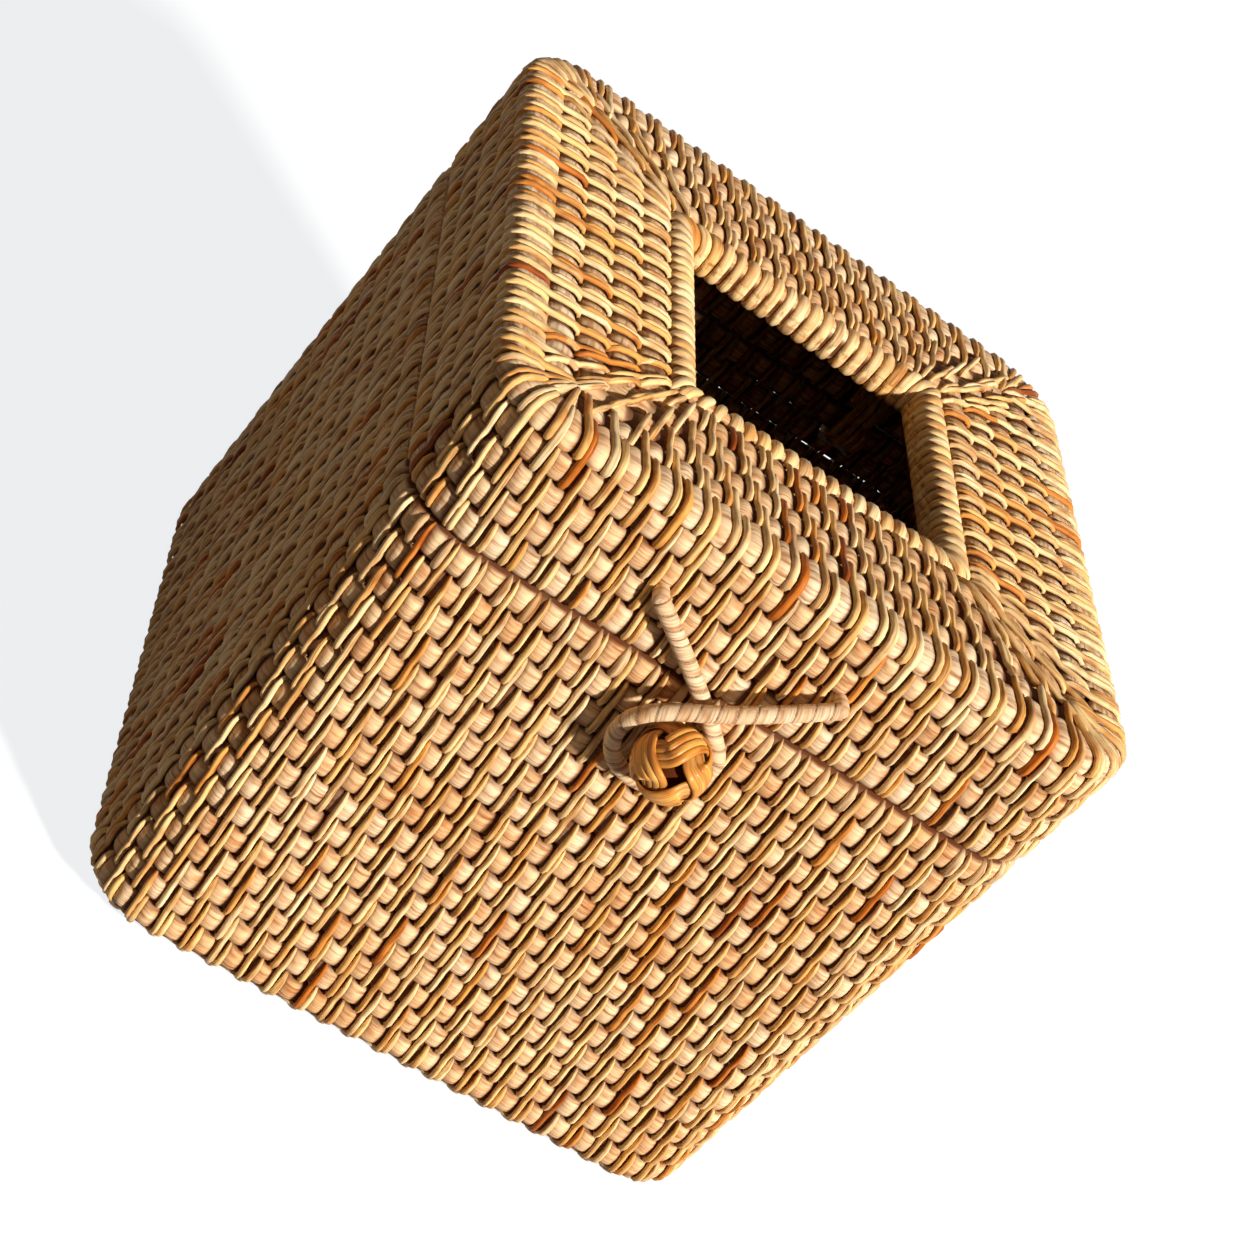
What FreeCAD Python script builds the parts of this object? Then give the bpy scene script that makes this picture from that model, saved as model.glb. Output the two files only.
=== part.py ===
"""A square tissue box built from coils of rattan core, with a lid lashed on at the back.

Millimetres, +Z up, +X to the right, the front faces -Y. The origin is the middle of the underside.
"""
import FreeCAD, Part
import math
import os

import Sketcher
from FreeCAD import Rotation, Vector

SIZES = {
    # the box
    "box_width": 130.0,
    "box_depth": 130.0,
    "corner_radius": 15.0,
    # a side coil: its core's height and thickness, and the cane between two coils
    "coil_height": 5.5,
    "coil_thickness": 4.6,
    "cane_gap": 0.3,
    # how many coils stand on each other
    "base_rows": 17,
    "lid_rows": 4,
    "seam_gap": 1.1,
    # the coil that turns the wall into the floor
    "foot_inset": 2.5,
    "foot_width": 8.0,
    "foot_bevel_width": 4.5,
    "foot_bevel_height": 4.0,
    # coils that lie flat, in the floor and in the lid's top
    "flat_width": 5.8,
    "flat_height": 4.2,
    "top_rows": 4,
    # the coil that turns the lid's wall into its top
    "edge_width": 8.0,
    "edge_bevel_width": 3.2,
    "edge_bevel_height": 2.6,
    # the rolled rim of the tissue opening
    "rim_width": 6.0,
    "rim_height": 8.0,
    "rim_bevel": 2.4,
    # cane strips that lash the lid to the base
    "lashing_offset": 36.0,
    "lashing_turns": 4,
    "strip_width": 1.5,
    "strip_thickness": 0.8,
    "strip_pitch": 2.0,
    "running_gap": 0.3,
    "opening_room": 0.9,
    # the woven ball on the base and the tie that holds it
    "closure_offset": -5.0,
    "ball_radius": 6.9,
    "ball_gap": 0.8,
    "ball_hole": 3.0,
    "ball_hole_depth": 4.0,
    "ball_flat_radius": 2.4,
    "tie_radius": 1.2,
    "tie_grip": 2.0,
    "knot_radius": 2.6,
    "knot_height": 2.4,
    "bore_gap": 0.1,
    # the cane loop on the lid and the ends that hold it
    "cord_radius": 1.5,
    "anchor_radius": 1.4,
    "anchor_span": 36.0,
}
# Which base coil, from below, the ball is tied to, and which lid coil the loop comes out on top of.
BALL_ROW = 16
LOOP_ROW = 2
# The loop's route seen from the front, from the ball's middle: right, up, and out from the wall.
LOOP_ROUTE = [
    (-18.0, 21.1, 1.8),
    (8.02, 4.25, 1.8),
    (9.35, -3.79, 1.8),
    (4.07, -10.0, 1.8),
    (-4.07, -10.0, 1.8),
    (-9.35, -3.79, 2.6),
    (-8.7, 4.9, 5.3),
    (5.0, 13.0, 5.3),
    (18.0, 21.1, 1.8),
]
# A cord's bend takes this share of the shorter run on each side of a point.
BEND_SHARE = 0.45
BALL_FACETS = 8
BALL_SIDES = 16
# The flat round the ball's bore, as a share of the bore's radius.
FLAT_SHARE = 1.4
CORD_SIDES = 6
# How many times a lashing creases on its way over a rim coil.
CREASES = 4

doc = FreeCAD.newDocument("tissue_box")
sheet = doc.addObject("Spreadsheet::Sheet", "sheet")
for line, (alias, number) in enumerate(SIZES.items(), start=1):
    sheet.set(f"A{line}", alias)
    sheet.set(f"B{line}", str(number))
    sheet.setAlias(f"B{line}", alias)
doc.recompute()
pieces = []


def size(alias):
    """The value of one cell of the sheet."""
    return float(sheet.get(alias))


def cells(words):
    """An expression on the sheet: each alias in words becomes a cell."""
    return " ".join(f"sheet.{word}" if word in SIZES else word for word in words.split())


def value(words):
    """What an expression on the sheet comes to."""
    return float(sheet.evalExpression(cells(words)))


def origin_plane(body, role):
    return next(f for f in body.Origin.OriginFeatures if f.Role == role)


def new_body(name, height="0"):
    """An empty sub-part, lifted to a height that follows the sheet."""
    body = doc.addObject("PartDesign::Body", name)
    body.Label = name
    body.setExpression("Placement.Base.z", cells(height))
    pieces.append(body)
    return body


def new_sketch(body, role):
    sketch = body.newObject("Sketcher::SketchObject", f"{body.Name}_sketch")
    sketch.AttachmentSupport = [(origin_plane(body, role), "")]
    sketch.MapMode = "FlatFace"
    return sketch


def bind(sketch, name, words, kind, *where):
    """A size on a sketch that follows the sheet."""
    index = sketch.addConstraint(Sketcher.Constraint(kind, *where, value(words)))
    sketch.renameConstraint(index, name)
    sketch.setExpression(f"Constraints.{name}", cells(words))


def polygon(sketch, corners):
    """A closed outline whose corners are pairs of expressions."""
    points = [Vector(value(across), value(up), 0) for across, up in corners]
    lines = [
        sketch.addGeometry(Part.LineSegment(start, end))
        for start, end in zip(points, points[1:] + points[:1])
    ]
    for index, line in enumerate(lines):
        follower = lines[(index + 1) % len(lines)]
        sketch.addConstraint(Sketcher.Constraint("Coincident", line, 2, follower, 1))
        bind(sketch, f"across{index}", corners[index][0], "DistanceX", -1, 1, line, 1)
        bind(sketch, f"up{index}", corners[index][1], "DistanceY", -1, 1, line, 1)


def bent_path(sketch, inset, bend):
    """The middle line of a coil: four runs, joined by bends, or by mitres where bend is None."""
    east = f"box_width / 2 - ( {inset} )"
    north = f"box_depth / 2 - ( {inset} )"
    x, y = value(east), value(north)
    if bend is None:
        polygon(sketch, [(f"0 - ( {east} )", f"0 - ( {north} )"), (east, f"0 - ( {north} )"),
                         (east, north), (f"0 - ( {east} )", north)])
        return
    radius = value(bend)
    ends = [
        (Vector(radius - x, -y, 0), Vector(x - radius, -y, 0)),
        (Vector(x, radius - y, 0), Vector(x, y - radius, 0)),
        (Vector(x - radius, y, 0), Vector(radius - x, y, 0)),
        (Vector(-x, y - radius, 0), Vector(-x, radius - y, 0)),
    ]
    runs = [sketch.addGeometry(Part.LineSegment(*pair)) for pair in ends]
    bends = []
    for quarter, (across, along) in enumerate(((1, -1), (1, 1), (-1, 1), (-1, -1))):
        centre = Vector(across * (x - radius), along * (y - radius), 0)
        start = math.pi / 2 * (quarter - 1)
        circle = Part.Circle(centre, Vector(0, 0, 1), radius)
        bends.append(sketch.addGeometry(Part.ArcOfCircle(circle, start, start + math.pi / 2)))
    for quarter in range(4):
        following = runs[(quarter + 1) % 4]
        sketch.addConstraint(Sketcher.Constraint("Tangent", runs[quarter], 2, bends[quarter], 1))
        sketch.addConstraint(Sketcher.Constraint("Tangent", bends[quarter], 2, following, 1))
        sketch.addConstraint(Sketcher.Constraint(("Horizontal", "Vertical")[quarter % 2], runs[quarter]))
        if quarter:
            sketch.addConstraint(Sketcher.Constraint("Equal", bends[0], bends[quarter]))
    bind(sketch, "east", east, "DistanceX", -1, 1, runs[1], 1)
    bind(sketch, "west", east, "DistanceX", runs[3], 1, -1, 1)
    bind(sketch, "north", north, "DistanceY", -1, 1, runs[2], 1)
    bind(sketch, "south", north, "DistanceY", runs[0], 1, -1, 1)
    bind(sketch, "bend", bend, "Radius", bends[0])


def coil(name, height, inset, width, tall, cut_corners=()):
    """A rod bent round the box: its outer face lies inset from the box's side.

    cut_corners names bevelled corners of the section, each with its two expressions (across, up).
    """
    body = new_body(name, height)
    bevels = dict(cut_corners)
    outer, inner = f"box_width / 2 - ( {inset} )", f"box_width / 2 - ( {inset} ) - {width}"
    section = []
    for place, (across, up) in {
        "inner_low": (inner, "0"),
        "outer_low": (outer, "0"),
        "outer_high": (outer, tall),
        "inner_high": (inner, tall),
    }.items():
        if place not in bevels:
            section.append((across, up))
            continue
        run, rise = bevels[place]
        sideways = (f"{across} - {run}" if across == outer else f"{across} + {run}", up)
        upright = (across, f"{up} + {rise}" if up == "0" else f"{up} - {rise}")
        turned = place in ("outer_low", "inner_high")
        section += [sideways, upright] if turned else [upright, sideways]
    path = new_sketch(body, "XY_Plane")
    bend = f"corner_radius - ( {inset} ) - {width} / 2"
    rounded = value(bend) > value(f"{width} / 2")
    bent_path(path, f"{inset} + {width} / 2", bend if rounded else None)
    profile = new_sketch(body, "XZ_Plane")
    polygon(profile, section)
    doc.recompute()
    pipe = body.newObject("PartDesign::AdditivePipe", f"{name}_pipe")
    pipe.Profile = profile
    pipe.Spine = (path, [f"Edge{index + 1}" for index in range(len(path.Shape.Edges))])
    pipe.Transition = "Transformed" if rounded else "Right corner"
    doc.recompute()
    outer_bend = f"corner_radius - ( {inset} )"
    if not rounded and value(outer_bend) > 0:
        round_outer_corners(body, pipe, inset, outer_bend)
    return body


def round_outer_corners(body, pipe, inset, radius):
    """A mitred coil's upright outer edges follow the bend of the coil round it."""
    x, y = value(f"box_width / 2 - ( {inset} )"), value(f"box_depth / 2 - ( {inset} )")
    names = []
    for index, edge in enumerate(pipe.Shape.Edges):
        middle = edge.CenterOfMass
        if math.isclose(abs(middle.x), x, abs_tol=1e-6) and math.isclose(abs(middle.y), y, abs_tol=1e-6):
            names.append(f"Edge{index + 1}")
    fillet = body.newObject("PartDesign::Fillet", f"{body.Name}_corners")
    fillet.Base = (pipe, names)
    fillet.setExpression("Radius", cells(radius))
    doc.recompute()


def cut_through_front(body, across, up, radius):
    """A round hole from the box's middle out through the front wall."""
    sketch = new_sketch(body, "XZ_Plane")
    centre = Vector(value(across), value(up), 0)
    circle = sketch.addGeometry(Part.Circle(centre, Vector(0, 0, 1), value(radius)))
    bind(sketch, "across", across, "DistanceX", -1, 1, circle, 3)
    bind(sketch, "up", up, "DistanceY", -1, 1, circle, 3)
    bind(sketch, "radius", radius, "Radius", circle)
    pocket = body.newObject("PartDesign::Pocket", f"{body.Name}_hole")
    pocket.Profile = sketch
    pocket.Type = "Length"
    pocket.Reversed = True
    pocket.setExpression("Length", cells("box_depth"))
    doc.recompute()


def cut_lashing_room(body, side, up, radius):
    """Room for a lashing in the back wall: a round groove along X about a rim coil's middle line."""
    sketch = new_sketch(body, "YZ_Plane")
    sketch.setExpression("AttachmentOffset.Base.z", cells(f"{side} * lashing_offset"))
    back = "box_depth / 2 - coil_thickness / 2"
    circle = sketch.addGeometry(
        Part.Circle(Vector(value(back), value(up), 0), Vector(0, 0, 1), value(radius))
    )
    bind(sketch, "back", back, "DistanceX", -1, 1, circle, 3)
    bind(sketch, "up", up, "DistanceY", -1, 1, circle, 3)
    bind(sketch, "radius", radius, "Radius", circle)
    pocket = body.newObject("PartDesign::Pocket", f"{body.Name}_groove")
    pocket.Profile = sketch
    pocket.Type = "Length"
    pocket.SideType = "Symmetric"
    pocket.setExpression("Length", cells(f"{LASHING_WIDTH} + 2 * running_gap"))
    doc.recompute()


def turned(name, across, height, profile):
    """A piece turned about an axis along Y: profile holds pairs of expressions (radius, y)."""
    body = new_body(name, height)
    body.setExpression("Placement.Base.x", cells(across))
    sketch = new_sketch(body, "XY_Plane")
    polygon(sketch, profile)
    doc.recompute()
    turn = body.newObject("PartDesign::Revolution", f"{name}_turn")
    turn.Profile = sketch
    turn.ReferenceAxis = (sketch, ["V_Axis"])
    turn.Angle = 360
    doc.recompute()
    return body


def shaped(name, shape):
    """A sub-part whose form neither a sketch nor a primitive gives."""
    piece = doc.addObject("Part::Feature", name)
    piece.Label = name
    piece.Shape = shape
    pieces.append(piece)


def arc_between(start, middle_corner, end):
    """The arc that leaves start towards middle_corner and reaches end, tangent to both arms."""
    chord = (end - start) * 0.5
    foot = start + chord
    lift = middle_corner - foot
    half_turn = math.atan2(lift.Length, chord.Length)
    sagitta = chord.Length * math.tan(half_turn / 2)
    return Part.Arc(start, foot + lift.normalize() * sagitta, end).toShape()


def pipe_along(edges, corners):
    """A rod along a path, with a polygon of corners for its section; its volume is compared."""
    path = Part.Wire(edges)
    shell = Part.BRepOffsetAPI.MakePipeShell(path)
    section = Part.Wire(Part.makePolygon(corners + corners[:1]).Edges)
    shell.add(section)
    shell.build()
    shell.makeSolid()
    solid = shell.shape()
    area = Part.Face(section).Area
    print(f"volume {solid.Volume:.2f}, section times length {area * path.Length:.2f}")
    return solid


# Levels and places, as expressions on the sheet.
ROW = "( coil_height + cane_gap )"
FLAT_ROW = "( flat_width + cane_gap )"
BASE_TOP = f"{ROW} * ( base_rows + 1 ) - cane_gap"
LID_BOTTOM = f"{BASE_TOP} + seam_gap"
EDGE_BOTTOM = f"{LID_BOTTOM} + {ROW} * lid_rows"
LID_TOP = f"{EDGE_BOTTOM} + flat_height"
BALL_HEIGHT = f"{ROW} * {BALL_ROW} + coil_height / 2"
LOOP_HEIGHT = f"{LID_BOTTOM} + {ROW} * {LOOP_ROW} - cane_gap / 2"
LASHING_WIDTH = "( strip_pitch * lashing_turns + strip_width )"
PIN_REACH = "sqrt( coil_height ^ 2 + coil_thickness ^ 2 ) / 2"
LASHING_INNER = f"( {PIN_REACH} + running_gap )"
LASHING_OUTER = f"( ( {LASHING_INNER} + strip_thickness ) / cos( 90 deg / {CREASES} ) )"
ANCHORS = {"left": "closure_offset - anchor_span / 2", "right": "closure_offset + anchor_span / 2"}


def base_coils():
    for row in range(1, int(size("base_rows")) + 1):
        rim = row == int(size("base_rows"))
        name = "base_rim_coil" if rim else f"base_coil_{row:02d}"
        body = coil(name, f"{ROW} * {row}", "0", "coil_thickness", "coil_height")
        if row == BALL_ROW:
            cut_through_front(body, "closure_offset", "coil_height / 2", "tie_radius + bore_gap")
        if row == int(size("base_rows")) - 1:
            for side in (-1, 1):
                cut_lashing_room(body, side, f"coil_height / 2 + {ROW}", f"{LASHING_OUTER} + running_gap")


def floor_coils():
    coil("foot_coil", "0", "foot_inset", "foot_width", "coil_height",
         [("outer_low", ("foot_bevel_width", "foot_bevel_height"))])
    first = "foot_inset + foot_width + cane_gap"
    shorter = min("box_width", "box_depth", key=size)
    count = int(value(f"( {shorter} / 2 - ( {first} ) ) / {FLAT_ROW}"))
    for row in range(count):
        coil(f"floor_coil_{row + 1}", "0", f"{first} + {FLAT_ROW} * {row}", "flat_width", "flat_height")
    centre = doc.addObject("Part::Box", "floor_centre")
    centre.Label = "floor_centre"
    for side, cell in (("Length", "box_width"), ("Width", "box_depth")):
        centre.setExpression(side, cells(f"{cell} - 2 * ( {first} + {FLAT_ROW} * {count} )"))
    centre.setExpression("Height", cells("flat_height"))
    centre.setExpression("Placement.Base.x", "-Length / 2")
    centre.setExpression("Placement.Base.y", "-Width / 2")
    pieces.append(centre)


def lid_coils():
    for row in range(1, int(size("lid_rows")) + 1):
        name = "lid_rim_coil" if row == 1 else f"lid_coil_{row}"
        body = coil(name, f"{LID_BOTTOM} + {ROW} * {row - 1}", "0", "coil_thickness", "coil_height")
        if row == 2:
            for side in (-1, 1):
                cut_lashing_room(body, side, f"coil_height / 2 - {ROW}", f"{LASHING_OUTER} + opening_room")
        if row in (LOOP_ROW, LOOP_ROW + 1):
            up = "coil_height + cane_gap / 2" if row == LOOP_ROW else "0 - cane_gap / 2"
            for across in ANCHORS.values():
                cut_through_front(body, across, up, "anchor_radius + bore_gap")
    coil("lid_edge_coil", EDGE_BOTTOM, "0", "edge_width", "flat_height",
         [("outer_high", ("edge_bevel_width", "edge_bevel_height"))])
    first = "edge_width + cane_gap"
    rows = int(size("top_rows"))
    for row in range(rows):
        coil(f"lid_top_coil_{row + 1}", EDGE_BOTTOM, f"{first} + {FLAT_ROW} * {row}",
             "flat_width", "flat_height")
    coil("opening_rim", f"{LID_TOP} - rim_height", f"{first} + {FLAT_ROW} * top_rows",
         "rim_width", "rim_height", [("inner_high", ("rim_bevel", "rim_bevel"))])


def lashing(name, side):
    """One cane strip wound round both rim coils at the back: it climbs along X as it goes round."""
    back = value("box_depth / 2 - coil_thickness / 2")
    low = value(f"{BASE_TOP} - coil_height / 2")
    high = value(f"{LID_BOTTOM} + coil_height / 2")
    turns = int(size("lashing_turns"))
    crease = math.pi / CREASES
    inner = value(LASHING_INNER) / math.cos(crease / 2)
    outer = value(f"{LASHING_INNER} + strip_thickness") / math.cos(crease / 2)
    half_wide = size("strip_width") / 2
    start = side * size("lashing_offset") - size("strip_pitch") * turns / 2
    short = 2 * outer * math.sin(crease / 2)
    climb = size("strip_pitch") / (2 * (high - low) + 2 * CREASES * short)
    run, sections, middles = 0.0, [], []
    for turn in range(turns):
        for middle, first in ((high, math.pi), (low, 0.0)):
            for step in range(CREASES):
                angle = first - crease * (step + 1 / 2)
                along, up = math.cos(angle), math.sin(angle)
                across = start + climb * run
                corners = [Vector(across + wide, back + reach * along, middle + reach * up)
                           for wide, reach in ((-half_wide, inner), (half_wide, inner),
                                               (half_wide, outer), (-half_wide, outer))]
                sections.append(Part.makePolygon(corners + corners[:1]))
                middles.append(Vector(across, back + inner * along, middle + inner * up))
                run += short
            run += high - low
    turn_steps = 2 * CREASES
    gap = min(a.distanceToPoint(b) for a, b in zip(middles, middles[turn_steps:])) - size("strip_width")
    print(f"{name}: least gap to itself {gap:.2f}")
    shaped(name, Part.makeLoft(sections, True, True))


def ball_button():
    """The ball, a faceted bead with the square gap of its weave in front, and its tie."""
    wall = "0 - box_depth / 2"
    middle = f"{wall} - ball_gap - ball_radius"
    bore = "( tie_radius + bore_gap )"
    seat = f"{middle} + sqrt( ball_radius ^ 2 - {bore} ^ 2 )"
    radius, hole = size("ball_radius"), size("ball_hole")
    centre = Vector(size("closure_offset"), value(middle), value(BALL_HEIGHT))
    front = math.asin(size("ball_flat_radius") / radius)
    back = math.pi - math.asin(value(bore) * FLAT_SHARE / radius)
    rings = []
    for facet in range(BALL_FACETS + 1):
        turn = front + (back - front) * facet / BALL_FACETS
        ring = []
        for side in range(BALL_SIDES + 1):
            angle = 2 * math.pi * side / BALL_SIDES
            spread = radius * math.sin(turn)
            offset = Vector(spread * math.cos(angle), -radius * math.cos(turn), spread * math.sin(angle))
            ring.append(centre + offset)
        rings.append(ring)
    outlines = [rings[0], rings[-1]]
    for near, far in zip(rings, rings[1:]):
        for side in range(BALL_SIDES):
            outlines.append([near[side], near[side + 1], far[side + 1], far[side], near[side]])
    faces = [Part.Face(Part.makePolygon(outline)) for outline in outlines]
    bead = Part.makeSolid(Part.makeShell(faces))
    corner = centre - Vector(hole / 2, radius, hole / 2)
    gap = Part.makeBox(hole, size("ball_hole_depth"), hole, corner)
    end = Vector(centre.x, value(f"{seat} - tie_grip"), centre.z)
    socket = Part.makeCylinder(value(bore), radius, end, Vector(0, 1, 0))
    shaped("button_ball", bead.cut(gap).cut(socket))
    inside = f"{wall} + coil_thickness"
    turned("button_tie", "closure_offset", BALL_HEIGHT, [
        ("0", f"{seat} - tie_grip"), ("tie_radius", f"{seat} - tie_grip"), ("tie_radius", inside),
        ("knot_radius", inside), ("knot_radius", f"{inside} + knot_height"), ("0", f"{inside} + knot_height"),
    ])


def loop_and_anchors():
    front = -size("box_depth") / 2
    across, up = size("closure_offset"), value(BALL_HEIGHT)
    points = [Vector(across + right, front - out, up + rise) for right, rise, out in LOOP_ROUTE]
    edges, radii, last = [], [], points[0]
    for before, corner, after in zip(points, points[1:], points[2:]):
        back, ahead = before - corner, after - corner
        turn = math.pi - back.getAngle(ahead)
        shorter = min(back.Length, ahead.Length)
        reach = BEND_SHARE * shorter
        radii.append(reach / math.tan(turn / 2))
        start, end = corner + back.normalize() * reach, corner + ahead.normalize() * reach
        edges += [Part.LineSegment(last, start).toShape(), arc_between(start, corner, end)]
        last = end
    edges.append(Part.LineSegment(last, points[-1]).toShape())
    print("loop's bends: " + ", ".join(f"{radius:.1f}" for radius in radii))
    facing = Rotation(Vector(0, 0, 1), points[1] - points[0])
    turns = [2 * math.pi * side / CORD_SIDES for side in range(CORD_SIDES)]
    ring = [Vector(math.cos(turn), math.sin(turn), 0) * size("cord_radius") for turn in turns]
    shaped("loop_cord", pipe_along(edges, [points[0] + facing.multVec(corner) for corner in ring]))
    wall = "0 - box_depth / 2"
    inside = f"{wall} + coil_thickness"
    for side, place in ANCHORS.items():
        turned(f"loop_anchor_{side}", place, LOOP_HEIGHT, [
            ("0", wall), ("anchor_radius", wall), ("anchor_radius", inside),
            ("knot_radius", inside), ("knot_radius", f"{inside} + knot_height"),
            ("0", f"{inside} + knot_height"),
        ])


base_coils()
floor_coils()
lid_coils()
lashing("hinge_lashing_left", -1)
lashing("hinge_lashing_right", 1)
ball_button()
loop_and_anchors()
doc.recompute()

for item in doc.Objects:
    if {"Invalid", "Error"} & set(item.State):
        raise RuntimeError(f"{item.Label} failed: {item.State}")
for piece in pieces:
    if piece.Shape.isNull() or not piece.Shape.isValid() or len(piece.Shape.Solids) != 1:
        raise RuntimeError(f"{piece.Label} has no sound shape")
os.makedirs("parts", exist_ok=True)
for piece in pieces:
    piece.Shape.exportStep(f"parts/{piece.Label}.step")
print(f"{len(pieces)} pieces, lid top at {value(LID_TOP):.1f}")
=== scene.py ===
"""A coiled rattan tissue box with its cane binding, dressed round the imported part.

Sizes are in millimetres until they reach a mesh. The front faces -Y and +Z is up.
"""

import math

import bpy
import numpy as np
from mathutils import Matrix, Vector


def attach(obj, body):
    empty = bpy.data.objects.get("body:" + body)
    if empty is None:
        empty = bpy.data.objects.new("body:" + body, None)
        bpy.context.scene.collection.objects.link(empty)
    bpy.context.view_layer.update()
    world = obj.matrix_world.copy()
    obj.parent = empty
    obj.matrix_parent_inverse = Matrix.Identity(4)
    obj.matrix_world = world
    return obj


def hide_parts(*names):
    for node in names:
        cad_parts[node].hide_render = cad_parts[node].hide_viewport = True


MM = 0.001
rng = np.random.default_rng(41)

# The box, as the part's source has it
HALF = 65.0
CORNER = 15.0
THICK = 4.6
ROW_HEIGHT = 5.5
GAP = 0.3
PITCH = ROW_HEIGHT + GAP
BASE_ROWS = 17
LID_ROWS = 4
SEAM = 1.1
FLAT_WIDTH = 5.8
FLAT_HEIGHT = 4.2
FLAT_PITCH = FLAT_WIDTH + GAP
EDGE_WIDTH = 8.0
TOP_ROWS = 4
RIM_WIDTH = 6.0
RIM_HEIGHT = 8.0
FOOT_INSET = 2.5
FOOT_WIDTH = 8.0
FLOOR_ROWS = 8
BASE_TOP = PITCH * (BASE_ROWS + 1) - GAP
LID_BOTTOM = BASE_TOP + SEAM
EDGE_BOTTOM = LID_BOTTOM + PITCH * LID_ROWS
LID_TOP = EDGE_BOTTOM + FLAT_HEIGHT
TOP_OUTER = HALF - EDGE_WIDTH - GAP
RIM_OUTER = TOP_OUTER - FLAT_PITCH * TOP_ROWS
FLOOR_OUTER = HALF - FOOT_INSET - FOOT_WIDTH - GAP
WALL_MIDDLE = HALF - THICK / 2
SIDE_RUN = 2 * (HALF - CORNER) + math.pi / 2 * CORNER
OUTLINE_LENGTH = 4 * SIDE_RUN

# The cane strips: their thickness and widths, how many go round a row, and how they shift and lean
STRIP = 0.8
STRIP_WIDTH = 1.1
EDGE_STRIP_WIDTH = 1.42
TOP_STRIP_WIDTH = 1.08
RIM_WRAP_WIDTH = 1.6
RIM_WRAP_SHIFT = -1.7
OPENING_STRIP_WIDTH = 2.2
OPENING_STRIP_PITCH = 2.9
STITCHES = 85
STITCH_PITCH = OUTLINE_LENGTH / STITCHES
ROW_SHIFT = 0.36
LEAN = 0.9
TOP_SHIFT = 1.45
TOP_LEAN = 0.5
FAN_START = 0.55

# How much single strips differ in place, lean and width
PLACE_SPREAD = 0.22
TOP_PLACE_SPREAD = 0.15
OPENING_PLACE_SPREAD = 0.1
LEAN_SPREAD = 0.16
WRAP_LEAN_SPREAD = 0.1
TOP_LEAN_SPREAD = 0.12
WIDTH_SPREAD = 0.07
OPENING_WIDTH_SPREAD = 0.06

# Their tones: the middle, the spread and the share of odd ones, which are orange or, one in nine, brown
GOLDEN_TONES = (0.3, 0.17, 0.07)
WRAP_TONES = (0.4, 0.2, 0.07)
OPENING_TONES = (0.22, 0.12, 0.02)
ORANGE_TONES = (0.62, 0.86)
BROWN_TONE = 0.97
BROWN_PART = 9

# The rods: how much wider they are than the part's, how far they wander, and the tones of single ones
ROD_SPARE = 0.1
FLAT_SPARE = 0.25
EDGE_SPARE = 0.4
FOOT_SPARE = 0.75
TOP_ROD_HALF = 1.7
SEAM_LIP = 0.41
SEAM_ROOM = 0.42
MITRE_PLAIN = 8.0
ROD_WOBBLE = 0.1
RIM_WOBBLE = 0.02
FLAT_WOBBLE = 0.06
EDGE_WOBBLE = 0.08
FOOT_WOBBLE = 0.05
OPENING_WOBBLE = 0.03
TONE_WAVE = 0.25
PIECE_SPREAD = 9
OUT_WAVES = (3, 7, 11, 16)
UP_WAVES = (2, 5, 9, 14)
ROD_TONES = (0.5, 0.22)
EDGE_TONE = 0.8
FOOT_TONE = 0.5
OPENING_TONE = 0.4

# The hinge lashings, as the part's source winds them, and the rooms for them: level, radius and shift
LASHING_OFFSET = 36.0
LASHING_TURNS = 4
LASHING_PITCH = 2.0
LASHING_INNER = math.hypot(ROW_HEIGHT, THICK) / 2 + 0.3
LASHING_WIDTH = 1.76
LASHING_WOUND_SHARE = 0.97
LASHING_STEPS = 52
LASHING_TONE = 0.35
LASHING_ROOM = 4.35
LASHING_SPARE = 0.8
BASE_RIM_LEVEL = BASE_TOP - ROW_HEIGHT / 2
LID_RIM_LEVEL = LID_BOTTOM + ROW_HEIGHT / 2
BASE_ROOM = (BASE_RIM_LEVEL, 5.37, 0.3)
LID_ROOM = (LID_RIM_LEVEL, 5.6, -0.7)
LID_STITCH_ROOM = (LID_RIM_LEVEL, 5.97, -0.7)

# The materials' names
CORE, CANE, BALL_CANE, WRAP, PALE = "core", "cane", "amber", "wrap", "pale"


def new_object(name, data):
    obj = bpy.data.objects.new(name, data)
    bpy.context.collection.objects.link(obj)
    return obj


def linear(*srgb):
    """A colour as a picture program shows it, 0 to 255, as scene-linear numbers."""
    values = []
    for channel in srgb:
        share = channel / 255
        values.append(share / 12.92 if share <= 0.04045 else ((share + 0.055) / 1.055) ** 2.4)
    return (*values, 1.0)


# Materials

def new_material(name):
    material = bpy.data.materials.new(name)
    material.use_nodes = True
    nodes, links = material.node_tree.nodes, material.node_tree.links
    nodes.clear()
    output = nodes.new("ShaderNodeOutputMaterial")
    shader = nodes.new("ShaderNodeBsdfPrincipled")
    links.new(shader.outputs["BSDF"], output.inputs["Surface"])
    return material, nodes, links, shader


def node_with(nodes, kind, values):
    """A new node with values for some of its inputs."""
    node = nodes.new(kind)
    for name, value in values.items():
        node.inputs[name].default_value = value
    return node


def attribute(nodes, name):
    """What each point of a piece carries under a name."""
    node = nodes.new("ShaderNodeAttribute")
    node.attribute_name = name
    return node.outputs["Vector"]


def ramp_node(nodes, links, source, stops):
    ramp = nodes.new("ShaderNodeValToRGB")
    while len(ramp.color_ramp.elements) < len(stops):
        ramp.color_ramp.elements.new(0.5)
    for element, (place, colour) in zip(ramp.color_ramp.elements, stops):
        element.position = place
        element.color = linear(*colour)
    links.new(source, ramp.inputs["Fac"])
    return ramp.outputs["Color"]


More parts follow.
